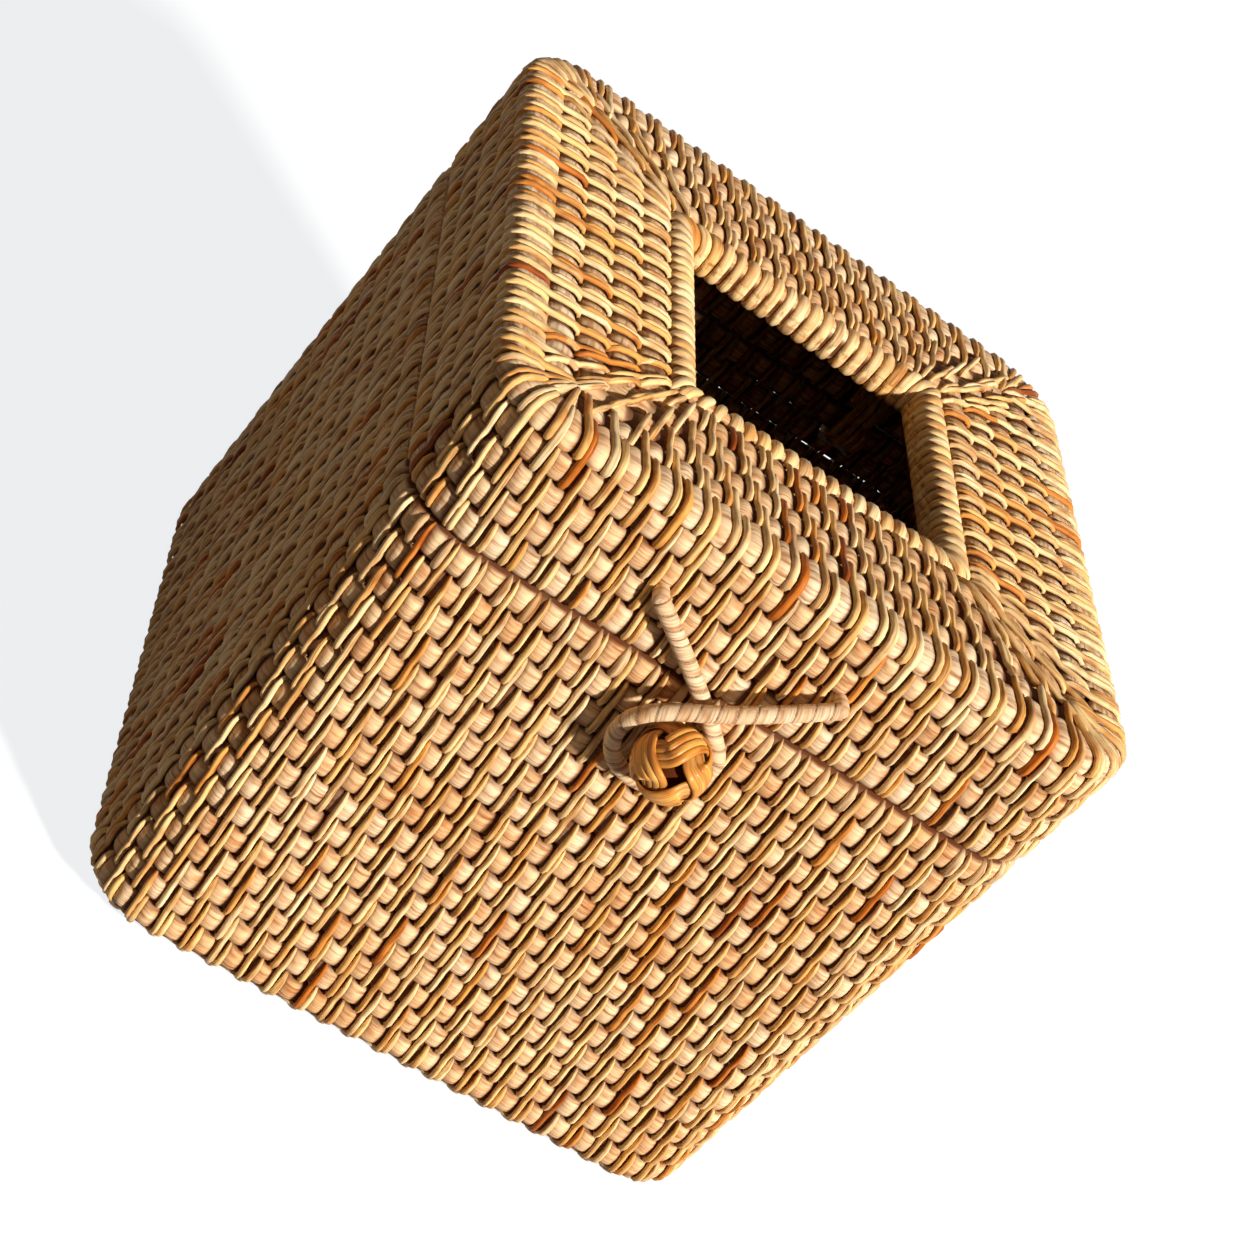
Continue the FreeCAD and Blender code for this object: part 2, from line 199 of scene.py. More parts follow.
def streaks(nodes, links, scale, detail, rough=0.6):
    """Noise along the grain. scale holds its frequencies lengthwise, sideways and from piece to piece."""
    stretch = node_with(nodes, "ShaderNodeMapping", {"Scale": scale})
    noise = node_with(nodes, "ShaderNodeTexNoise", {"Scale": 1.0, "Detail": detail, "Roughness": rough})
    links.new(attribute(nodes, "grain"), stretch.inputs["Vector"])
    links.new(stretch.outputs["Vector"], noise.inputs["Vector"])
    return noise.outputs["Fac"]


def blend_node(nodes, links, kind, factor, first, second):
    mix = nodes.new("ShaderNodeMix")
    mix.data_type = "RGBA"
    mix.blend_type = kind
    for name, source in (("Factor", factor), ("A", first), ("B", second)):
        socket = mix.inputs[name]
        if hasattr(source, "is_linked"):
            links.new(source, socket)
        else:
            socket.default_value = source
    return mix.outputs["Result"]


# Fibres and blots: their frequencies, the colours that they lay over a tone, and the fibres' depth
FIBRE_LENGTHWISE = 0.10
FIBRE_BY_PIECE = 31.0
FIBRE_DETAIL, FIBRE_ROUGHNESS = 4.0, 0.65
FIBRE_DEPTH = 0.12
FIBRE_STOPS = [(0.30, (168, 136, 110)), (0.52, (246, 243, 240)), (0.72, (255, 255, 255))]
BLOT_SCALE = (0.16, 0.5, 17.0)
BLOT_DETAIL = 2.0
BLOT_STRENGTH = 0.8
BLOT_STOPS = [(0.34, (206, 168, 134)), (0.5, (250, 246, 243)), (0.68, (255, 253, 250))]


def rattan(name, tones, dark, fibre, rough, bump, gleam):
    """Rattan or cane: tones by piece, fine fibres along the grain, and painted shade where it goes in.

    dark is the colour of the painted shade, fibre the fibres' frequency sideways, rough the range of
    roughness and gleam the specular level.
    """
    material, nodes, links, shader = new_material(name)
    tint = nodes.new("ShaderNodeSeparateXYZ")
    links.new(attribute(nodes, "tint"), tint.inputs["Vector"])
    tone = ramp_node(nodes, links, tint.outputs["X"], tones)
    fine = streaks(nodes, links, (FIBRE_LENGTHWISE, fibre, FIBRE_BY_PIECE), FIBRE_DETAIL, FIBRE_ROUGHNESS)
    blot = streaks(nodes, links, BLOT_SCALE, BLOT_DETAIL)
    fibres = ramp_node(nodes, links, fine, FIBRE_STOPS)
    patches = ramp_node(nodes, links, blot, BLOT_STOPS)
    colour = blend_node(nodes, links, "MULTIPLY", 1.0, tone, fibres)
    colour = blend_node(nodes, links, "MULTIPLY", BLOT_STRENGTH, colour, patches)
    # Painted shade: the tint's second number mixes in the dark colour
    colour = blend_node(nodes, links, "MIX", tint.outputs["Y"], colour, linear(*dark))
    links.new(colour, shader.inputs["Base Color"])
    gloss = node_with(nodes, "ShaderNodeMapRange", {"To Min": rough[0], "To Max": rough[1]})
    links.new(fine, gloss.inputs["Value"])
    links.new(gloss.outputs["Result"], shader.inputs["Roughness"])
    relief = node_with(nodes, "ShaderNodeBump", {"Strength": bump, "Distance": FIBRE_DEPTH * MM})
    links.new(fine, relief.inputs["Height"])
    links.new(relief.outputs["Normal"], shader.inputs["Normal"])
    shader.inputs["Specular IOR Level"].default_value = gleam
    return material


# Each material's dark colour is the colour of its painted shade
MATERIALS = {
    CORE: rattan("rattan_core", [(0.0, (238, 196, 146)), (0.5, (250, 218, 174)), (1.0, (254, 232, 198))],
                 (86, 38, 12), 1.5, (0.55, 0.8), 0.5, 0.05),
    CANE: rattan("cane_strip", [(0.0, (255, 233, 186)), (0.42, (248, 210, 142)), (0.66, (234, 174, 92)),
                                (0.84, (208, 125, 48)), (1.0, (156, 84, 36))],
                 (92, 42, 14), 2.4, (0.34, 0.55), 0.35, 0.1),
    PALE: rattan("pale_wrap", [(0.0, (240, 216, 176)), (0.6, (232, 202, 156)), (1.0, (222, 182, 128))],
                 (80, 42, 18), 1.8, (0.45, 0.65), 0.4, 0.1),
    BALL_CANE: rattan("amber_cane", [(0.0, (246, 192, 104)), (0.5, (232, 164, 72)), (1.0, (198, 122, 44))],
                      (62, 26, 6), 2.2, (0.28, 0.46), 0.35, 0.3),
    WRAP: rattan("wrapped_cane", [(0.0, (246, 226, 194)), (0.5, (236, 210, 174)), (1.0, (220, 184, 140))],
                 (92, 54, 28), 2.0, (0.4, 0.6), 0.4, 0.12),
}


# Meshes

class Batch:
    """Swept pieces that become one mesh: grids of points, each with a tint and a place along the grain."""

    def __init__(self):
        self.points, self.tints, self.grains = [], [], []
        self.quads, self.caps, self.count = [], [], 0

    def add(self, points, tint, grain, ring):
        """points has one axis for pieces, one along each piece and one round its section."""
        flat = points.reshape(-1, 3)
        index = np.arange(len(flat)).reshape(points.shape[:3])
        ahead = np.roll(index, -1, axis=1) if ring else index[:, 1:]
        here = index if ring else index[:, :-1]
        quad = np.stack([here, np.roll(here, -1, axis=2), np.roll(ahead, -1, axis=2), ahead], axis=-1)
        quad = quad.reshape(-1, 4)
        corner = flat[quad]
        crossed = np.cross(corner[:, 2] - corner[:, 0], corner[:, 3] - corner[:, 1])
        if len(points) == 1 and ring:
            centre = flat.mean(axis=0)
        else:
            middle = np.broadcast_to(points.mean(axis=2, keepdims=True), points.shape)
            centre = middle.reshape(-1, 3)[quad[:, 0]]
        flip = np.einsum("ij,ij->", crossed, corner.mean(axis=1) - centre) < 0
        quad, index = quad + self.count, index + self.count
        self.quads.append(quad[:, ::-1] if flip else quad)
        if not ring:
            for cap in (index[:, 0], index[:, -1, ::-1]):
                self.caps.extend(cap if flip else cap[:, ::-1])
        for gathered, values in ((self.points, points), (self.tints, tint), (self.grains, grain)):
            gathered.append(np.broadcast_to(values, points.shape).reshape(-1, 3))
        self.count += len(flat)

    def finish(self, name, material, body, nodes=()):
        """Makes the mesh, which rides on a body and stands for the part's nodes that are named."""
        points = np.concatenate(self.points) * MM
        quads = np.concatenate(self.quads)
        mesh = bpy.data.meshes.new(name)
        mesh.vertices.add(len(points))
        mesh.vertices.foreach_set("co", points.ravel())
        sizes = np.array([4] * len(quads) + [len(cap) for cap in self.caps])
        loops = np.concatenate([quads.ravel(), *self.caps])
        mesh.loops.add(len(loops))
        mesh.loops.foreach_set("vertex_index", loops.astype(np.int32))
        mesh.polygons.add(len(sizes))
        starts = np.cumsum(sizes) - sizes
        mesh.polygons.foreach_set("loop_start", starts.astype(np.int32))
        mesh.polygons.foreach_set("use_smooth", np.ones(len(sizes), dtype=bool))
        mesh.update(calc_edges=True)
        mesh.validate()
        for label, values in (("tint", self.tints), ("grain", self.grains)):
            layer = mesh.attributes.new(label, "FLOAT_VECTOR", "POINT")
            layer.data.foreach_set("vector", np.concatenate(values).astype(np.float32).ravel())
        obj = new_object(name, mesh)
        mesh.materials.append(MATERIALS[material])
        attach(obj, body)
        if nodes:
            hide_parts(*nodes)
        return obj


def marks(shape, first, second, third=0.0):
    """Three numbers for each point: a tint holds its tone and its painted shade, and a grain its place on the
    piece.
    """
    values = np.zeros(shape)
    for index, value in enumerate((first, second, third)):
        values[..., index] = value
    return values


def lengths_along(points):
    """The length from the first point to each."""
    return np.concatenate([[0], np.linalg.norm(np.diff(points, axis=0), axis=1).cumsum()])


def outline(along):
    """Points, ways out and ways along on the rounded square, by the length from the front's left end."""
    run = 2 * (HALF - CORNER)
    along = np.mod(along, OUTLINE_LENGTH)
    side = np.floor(along / SIDE_RUN).astype(int)
    rest = along - side * SIDE_RUN
    straight = np.minimum(rest, run)
    turn = np.maximum(rest - run, 0) / CORNER
    x = straight - run / 2 + CORNER * np.sin(turn)
    y = -HALF + CORNER * (1 - np.cos(turn))
    normal = np.stack([np.sin(turn), -np.cos(turn)], axis=-1)
    point = np.stack([x, y], axis=-1)
    quarter = side * (math.pi / 2)
    cos, sin = np.cos(quarter), np.sin(quarter)

    def rotated(v):
        return np.stack([v[..., 0] * cos - v[..., 1] * sin, v[..., 0] * sin + v[..., 1] * cos], axis=-1)

    point, normal = rotated(point), rotated(normal)
    direction = np.stack([-normal[..., 1], normal[..., 0]], axis=-1)
    return point, normal, direction


def upright(plane, z):
    """Points or ways in the plane, with a level or a rise."""
    return np.concatenate([plane, np.broadcast_to(z, plane.shape[:-1])[..., None]], axis=-1)


def unit(v):
    return v / np.linalg.norm(v, axis=-1, keepdims=True)


# The section of a strip: across as a share of its half width, out as a share of its thickness
STRIP_SHARES = np.array([(-1.0, 0.0), (-0.88, 0.55), (-0.45, 0.95), (0.45, 0.95), (0.88, 0.55), (1.0, 0.0)])


def strips(batch, centre, normal, side, width, tone, shade):
    """Cane strips in closed loops: centre lines on what they lie on, the way out and the way across."""
    onward = unit(np.roll(centre, -1, axis=1) - np.roll(centre, 1, axis=1))
    across = unit(side - np.einsum("npi,npi->np", side, onward)[..., None] * onward)
    points = (centre[:, :, None]
              + across[:, :, None] * (STRIP_SHARES[:, 0] * width[:, :, None] / 2)[..., None]
              + normal[:, :, None] * (STRIP_SHARES[:, 1:] * STRIP))
    steps = np.linalg.norm(np.diff(centre, axis=1, prepend=centre[:, :1]), axis=-1).cumsum(axis=1)
    piece = np.arange(len(centre))[:, None, None] + rng.random()
    tint = marks(points.shape, tone[:, None, None], shade[:, None])
    grain = marks(points.shape, steps[:, :, None], STRIP_SHARES[:, 0] * STRIP_WIDTH / 2, piece)
    batch.add(points, tint, grain, ring=True)


def tones(number, kind=GOLDEN_TONES):
    """Mostly golden strips, some orange and a few brown."""
    golden, spread, odd_share = kind
    tone = rng.normal(golden, spread, number)
    odd = rng.random(number)
    tone = np.where(odd < odd_share, rng.uniform(*ORANGE_TONES, number), tone)
    tone = np.where(odd < odd_share / BROWN_PART, BROWN_TONE, tone)
    return np.clip(tone, 0, 1)


def loop_normals(path):
    """The way out of a closed loop of (out, up) pairs that runs clockwise round what it binds."""
    onward = unit(np.roll(path, -1, axis=0) - np.roll(path, 1, axis=0))
    return np.stack([-onward[:, 1], onward[:, 0]], axis=-1)


def wall_strips(name, body, path, share, front, row, width, material=CANE, leans=(LEAN, LEAN_SPREAD),
                kind=GOLDEN_TONES, offset=0.0, hinged=False, room=None):
    """A row's strips on the walls. A hinged row has none under the lashings.

    path holds (out from the outline, up) pairs, front how many show, and share how far each has leaned.
    """
    places = (np.arange(STITCHES) + 0.5 + ROW_SHIFT * row) * STITCH_PITCH
    starts = places + rng.normal(0, PLACE_SPREAD, STITCHES) + offset
    lean = rng.normal(*leans, STITCHES)
    widths, tone = strip_widths(STITCHES, len(path), front, width), tones(STITCHES, kind)
    if hinged:
        kept = clear_of_lashings(starts)
        starts, lean, widths, tone = starts[kept], lean[kept], widths[kept], tone[kept]
    normal_2d = loop_normals(path)
    point, normal, direction = outline(starts[:, None] + lean[:, None] * share)
    centre = upright(point + normal * path[:, :1], path[:, 1])
    out = upright(normal * normal_2d[:, :1], normal_2d[:, 1])
    side = upright(direction, 0.0)
    batch = Batch()
    strips(batch, make_room(centre, room), out, side, widths, tone, end_shade(len(path), front))
    batch.finish(name, material, body)


def flat_strips(batch, path, share, side, middles, reach, lean, width, tone, shade):
    """Strips on one of four sides of coils that lie flat, which fan out towards the mitres.

    path holds (out from the box's middle, up) pairs, and reach is where along it a strip has its place.
    """
    normal_2d = loop_normals(path)
    shift = middles[:, None] + lean[:, None] * share
    fan = np.clip((np.abs(middles) / reach - FAN_START) / (1 - FAN_START), 0, 1)
    fan = fan * fan * (3 - 2 * fan)
    along = shift * (1 + fan[:, None] * (path[:, 0] / reach - 1))
    turn = side * math.pi / 2
    way = np.array([math.cos(turn), math.sin(turn)])
    out_way = np.array([math.sin(turn), -math.cos(turn)])
    plane = along[..., None] * way + path[:, :1] * out_way
    out = upright(np.broadcast_to(normal_2d[:, :1] * out_way, plane.shape), normal_2d[:, 1])
    across = upright(np.broadcast_to(way, plane.shape), 0.0)
    strips(batch, upright(plane, path[:, 1]), out, across, width, tone, shade)


# How a rod swells between its stitches: the place as a share of the pitch, how far out, and how dark its
# painted shadow from the strips is
SWELL_SHARES = [(0.0, -0.5, 0.85), (0.14, -0.46, 0.8), (0.21, -0.3, 0.55), (0.28, -0.05, 0.1),
                (0.38, 0.2, 0.0), (0.47, 0.32, 0.0), (0.58, 0.22, 0.0), (0.67, 0.02, 0.35),
                (0.75, -0.28, 0.9), (0.87, -0.48, 0.93)]


def swell_at(phase):
    """How a rod swells and how dark its painted shadow from the strips is, by the place in stitches from the
    middle of a pair.
    """
    shares = np.array(SWELL_SHARES + [(1.0, *SWELL_SHARES[0][1:])])
    phase = np.mod(phase, 1)
    return np.interp(phase, shares[:, 0], shares[:, 1]), np.interp(phase, shares[:, 0], shares[:, 2])


def mitred(half, step=0.75):
    """Points on a square path, their ways out, which follow the mitre at a corner, and their places.

    The last value falls to nothing at the mitres, where the rods lie plain and close.
    """
    side = np.linspace(-half, half, int(2 * half / step), endpoint=False)
    corner = np.concatenate([[1.0], np.zeros(len(side) - 1)])
    point, normal = [], []
    for quarter in range(4):
        cos, sin = round(math.cos(quarter * math.pi / 2)), round(math.sin(quarter * math.pi / 2))
        turn = np.array([[cos, sin], [-sin, cos]])
        point.append(np.stack([side, np.full(len(side), -half)], axis=-1) @ turn)
        normal.append(np.stack([-corner, np.full(len(side), -1.0)], axis=-1) @ turn)
    places = np.concatenate([side + SIDE_RUN * quarter + HALF - CORNER for quarter in range(4)])
    plain = np.clip((half - np.abs(side)) / MITRE_PLAIN, 0, 1)
    return np.concatenate(point), np.concatenate(normal), places, np.tile(plain, 4)


def slow_waves(places, size, turns):
    """Slow random waves along a rod. turns says how many of each go round the box."""
    wave = np.zeros(len(places))
    for turn in turns:
        height = rng.normal(0, size / 2)
        phase = rng.uniform(0, 6)
        wave += height * np.sin(2 * math.pi * places / OUTLINE_LENGTH * turn + phase)
    return wave


def middle_of(section):
    return (section.max(axis=0) + section.min(axis=0)) / 2


def coil_mesh(node, body, half, section, wobble, tone, meets, start=None, square=False, thin=None, room=None):
    """A node's rod, bent round the box. section holds (out from the path, up) pairs; square means mitred.

    meets says where it gets painted shade, and start where a pair of stitches lies: a mitred rod without it
    stays even.
    thin is the one axis that swells, and room is cut for a lashing.
    """
    if square:
        point, normal, places, plain = mitred(half)
    else:
        shares = np.array(SWELL_SHARES)[:, 0]
        places = ((np.arange(STITCHES)[:, None] + shares + start) * STITCH_PITCH).ravel()
        point, normal, _ = outline(places)
        point = point + normal * (half - HALF)
        plain = 1
    swell, painted_shadow = np.zeros((2, len(places)))
    if start is not None:
        swell, painted_shadow = np.array(swell_at(places / STITCH_PITCH - start)) * plain
    wave = slow_waves(places, wobble, OUT_WAVES)
    lift = slow_waves(places, wobble, UP_WAVES)
    middle = middle_of(section)
    if thin is None:
        reach, axes = np.linalg.norm(section - middle, axis=1).mean(), np.ones(2)
    else:
        reach, axes = np.abs(section - middle)[:, thin].max(), np.eye(2)[thin]
    grown = 1 + swell[:, None, None] / reach * axes
    shape = middle + (section - middle) * grown
    out = shape[..., 0] + wave[:, None]
    up = shape[..., 1] + lift[:, None]
    plane = point[:, None] + normal[:, None] * out[..., None]
    points = make_room(upright(plane, up)[None], room)
    worn = np.clip(tone + TONE_WAVE * wave[:, None] / wobble, 0, 1)
    # The tint's second number: painted shade in the creases or painted shadow from the strips, whichever is
    # darker
    tint = marks(points.shape, worn, np.maximum(coil_shade(section, meets), painted_shadow[:, None]))
    grain = marks(points.shape, places[:, None], lengths_along(section), rng.random() * PIECE_SPREAD)
    batch = Batch()
    batch.add(points, tint, grain, ring=True)
    batch.finish(f"{node}_rod", CORE, body, [node])


def make_room(points, room):
    """Moves points out of the round room for the lashings: room holds its level, radius and shift."""
    if room is None:
        return points
    level, radius, shift = room
    centre = np.array([WALL_MIDDLE, level])
    away = points[..., 1:] - centre
    reach = np.linalg.norm(away, axis=-1)
    beside = np.minimum(*(np.abs(points[..., 0] - side * LASHING_OFFSET - shift) for side in (-1, 1)))
    inside = (beside < LASHING_ROOM) & (reach < radius)
    pushed = centre + away * (radius / np.maximum(reach, 0.1))[..., None]
    moved = points.copy()
    moved[..., 1:] = np.where(inside[..., None], pushed, points[..., 1:])
    return moved


# Where a rod meets its neighbours: the axis, the way, where its painted shade starts and how fast it gets
# dark
WALL_MEETS_SHARES = [(1, -1, 0.6, 0.24), (1, 1, 0.72, 0.26)]
BASE_RIM_MEETS_SHARES = [(1, -1, 0.6, 0.24), (1, 1, 0.8, 0.08)]
LID_RIM_MEETS_SHARES = [(1, -1, 0.62, 0.16), (1, 1, 0.72, 0.26)]
FLAT_MEETS_SHARES = [(0, -1, 0.8, 0.2), (0, 1, 0.8, 0.2)]
EDGE_MEETS_SHARES = [(0, -1, 0.86, 0.14), (1, -1, 0.66, 0.3)]
FOOT_MEETS_SHARES = [(0, -1, 0.86, 0.14), (1, 1, 0.72, 0.26)]
DARKEST_SHARE = 0.95


def coil_shade(section, meets):
    """Painted shade in the creases where a rod meets its neighbour."""
    extent = (section.max(axis=0) - section.min(axis=0)) / 2
    reach = (section - middle_of(section)) / extent
    dark = [np.clip((way * reach[:, axis] - start) / spread, 0, 1) for axis, way, start, spread in meets]
    return np.max(dark, axis=0) * DARKEST_SHARE


def oval(half_out, half_up, power=2.35, number=18):
    """A rod's section, between an ellipse and a box."""
    turn = np.linspace(0, 2 * math.pi, number, endpoint=False)
    cos, sin = np.cos(turn), np.sin(turn)
    return np.stack([half_out * np.sign(cos) * np.abs(cos) ** (2 / power),
                     half_up * np.sign(sin) * np.abs(sin) ** (2 / power)], axis=-1)


def rounded(corners, radii, steps=5):
    """A polygon of (out, up) corners with each corner rounded."""
    points, corners = [], np.array(corners, dtype=float)
    for index, radius in enumerate(radii):
        corner = corners[index]
        back = unit(corners[index - 1] - corner)
        ahead = unit(corners[(index + 1) % len(corners)] - corner)
        half_turn = math.acos(np.clip(back @ ahead, -1, 1)) / 2
        reach = radius / math.tan(half_turn)
        centre = corner + unit(back + ahead) * radius / math.sin(half_turn)
        start, end = corner + back * reach - centre, corner + ahead * reach - centre
        first, last = math.atan2(start[1], start[0]), math.atan2(end[1], end[0])
        sweep = (last - first + math.pi) % (2 * math.pi) - math.pi
        for step in range(steps + 1):
            angle = first + sweep * step / steps
            points.append(centre + radius * np.array([math.cos(angle), math.sin(angle)]))
    return np.array(points)


def random_tone():
    return float(np.clip(rng.normal(*ROD_TONES), 0, 1))


# Wall coils

ROD_POWER = 2.15
ROD = oval(THICK / 2 - STRIP, ROW_HEIGHT / 2 + ROD_SPARE, ROD_POWER)


def pair_place(row):
    """Where a row's tail and new stitch lie side by side, in stitches from the start of the outline."""
    return 0.5 + ROW_SHIFT * (row - 0.5) + LEAN / 2 / STITCH_PITCH


def wall_coil(node, body, middle, row, lip=0.0, room=None):
    """A row's rod. A lip makes a rim's rod taller towards the seam, so that less light gets through."""
    grown = np.array([1.0, 1 + abs(lip) / ROW_HEIGHT])
    section = ROD * grown + np.array([0.0, middle + lip / 2])
    wobble = RIM_WOBBLE if lip else ROD_WOBBLE
    meets = WALL_MEETS_SHARES
    if lip:
        meets = BASE_RIM_MEETS_SHARES if lip > 0 else LID_RIM_MEETS_SHARES
    coil_mesh(node, body, WALL_MIDDLE, section, wobble, random_tone(), meets, pair_place(row), thin=0,
              room=room)


# How a stitch over two rows lies: down as a share of a row, and how far it sits in from the rods' faces
STITCH_SHARES = [(0.0, 1.5), (0.08, 0.5), (0.24, 0.02), (0.5, -0.04), (0.8, 0.14), (1.0, 0.34),
                 (1.2, 0.14), (1.5, -0.04), (1.76, 0.02), (1.92, 0.5), (2.0, 1.5)]
BACK_SHARES = [(1.93, 0.5), (1.7, 0.0), (1.25, 0.05), (1.0, 0.2), (0.75, 0.05), (0.3, 0.0), (0.07, 0.5)]
WRAP_SHARES = [(0.0, 1.5), (0.08, 0.5), (0.24, 0.02), (0.5, -0.04), (0.76, 0.02), (0.92, 0.5), (1.0, 1.5)]
WRAP_BACK_SHARES = [(0.93, 0.5), (0.7, 0.0), (0.3, 0.0), (0.07, 0.5)]


def stitch_path(top, height, front, back):
    """A closed loop round the wall from a row's top: down its outside, and up its inside."""
    outer = [(-STRIP - inset, top - down * height) for down, inset in front]
    inner = [(-THICK + STRIP + inset, top - down * height) for down, inset in back]
    share = [down / front[-1][0] for down, _ in front + back]
    return np.array(outer + inner), np.array(share)


# How a strip's width and painted shade change along what shows of it: the place, and the share
WIDTH_SHARES = np.array([(0.0, 0.52), (0.3, 1.0), (0.8, 1.0), (1.0, 0.88)])
DIVE_SHADE_SHARES = np.array([(0.0, 0.85), (0.09, 0.0), (0.93, 0.0), (1.0, 0.85)])
BACK_SHADE_SHARE = 0.425


def strip_widths(number, along, front, width):
    """Strips start narrow, and are widest in the middle of what shows."""
    shape = np.ones(along)
    shape[:front] = np.interp(np.linspace(0, 1, front), *WIDTH_SHARES.T)
    return width * rng.normal(1, WIDTH_SPREAD, (number, 1)) * shape


def end_shade(along, front):
    """Painted shade: strips are dark where they go in, and darker on their back."""
    shade = np.full(along, BACK_SHADE_SHARE)
    shade[:front] = np.interp(np.linspace(0, 1, front), *DIVE_SHADE_SHARES.T)
    return shade


def clear_of_lashings(starts):
    """Which stitches leave the hinge lashings free."""
    point = outline(starts + LEAN / 2)[0]
    beside = np.abs(np.abs(point[:, 0]) - LASHING_OFFSET)
    return (point[:, 1] < 0) | (beside > LASHING_ROOM + STRIP_WIDTH + LASHING_SPARE)


def wall_stitches(name, body, top, row, height=PITCH, hinged=False, room=None):
    """One row's stitches, each over this row and the next."""
    path, share = stitch_path(top, height, STITCH_SHARES, BACK_SHARES)
    wall_strips(name, body, path, share, len(STITCH_SHARES), row, STRIP_WIDTH, hinged=hinged, room=room)


def wall_wraps(name, body, top, row, offset, width, material):
    """Wraps round a single row, such as the base's rim."""
    path, share = stitch_path(top, PITCH - SEAM_ROOM, WRAP_SHARES, WRAP_BACK_SHARES)
    wall_strips(name, body, path, share, len(WRAP_SHARES), row, width, material,
                (LEAN / 2, WRAP_LEAN_SPREAD), WRAP_TONES, offset)


def base_wall():
    for row in range(BASE_ROWS):
        number = BASE_ROWS - row
        level = PITCH * number
        node = "base_rim_coil" if row == 0 else f"base_coil_{number:02d}"
        stitches = f"base_stitches_{number:02d}"
        lip = SEAM_LIP if row == 0 else 0.0
        room = BASE_ROOM if row == 1 else None
        wall_coil(node, "base", level + ROW_HEIGHT / 2, row, lip, room)
        top = level + ROW_HEIGHT + GAP / 2
        if row == 0:
            wall_stitches(stitches, "base", top - SEAM_ROOM, row, PITCH - SEAM_ROOM / 2, True)
        elif row < BASE_ROWS - 1:
            wall_stitches(stitches, "base", top, row, room=room)
    top = BASE_TOP + GAP / 2 - SEAM_ROOM
    wall_wraps("base_rim_wraps", "base", top, 0, RIM_WRAP_SHIFT, RIM_WRAP_WIDTH, PALE)


def lid_wall():
    for row in range(1, LID_ROWS + 1):
        level = LID_BOTTOM + PITCH * (row - 1)
        below_top = LID_ROWS - row + 1
        node = "lid_rim_coil" if row == 1 else f"lid_coil_{row}"
        stitches = f"lid_stitches_{row}"
        lip = -SEAM_LIP if row == 1 else 0.0
        wall_coil(node, "lid", level + ROW_HEIGHT / 2, below_top, lip, LID_ROOM if row == 2 else None)
        top = level + ROW_HEIGHT + GAP / 2
        if row == 2:
            wall_stitches(stitches, "lid", top, below_top, PITCH - SEAM_ROOM / 2, True)
        elif row > 2:
            wall_stitches(stitches, "lid", top, below_top, room=LID_STITCH_ROOM if row == 3 else None)
    wall_wraps("lid_rim_wraps", "lid", LID_BOTTOM + ROW_HEIGHT + GAP / 2, LID_ROWS, 0.0, STRIP_WIDTH, CANE)


# The coils that turn the wall into the lid's top and into the floor: (out from their outer face, up) corners

EDGE_SECTION = [(-EDGE_WIDTH - EDGE_SPARE, 0.0), (-STRIP, -EDGE_SPARE), (-STRIP, FLAT_HEIGHT - STRIP),
                (-EDGE_WIDTH - EDGE_SPARE, FLAT_HEIGHT - STRIP)]
EDGE_RADII = [1.2, 0.8, 2.6, 1.2]
FOOT_SECTION = [(-FOOT_WIDTH - FOOT_SPARE, STRIP), (-5.2, STRIP), (-STRIP, 4.0), (0.7, ROW_HEIGHT - 0.3),
                (0.7, ROW_HEIGHT + 0.6), (-FOOT_WIDTH - FOOT_SPARE, ROW_HEIGHT + 0.2)]
FOOT_RADII = [1.0, 1.6, 1.0, 0.3, 0.3, 1.4]


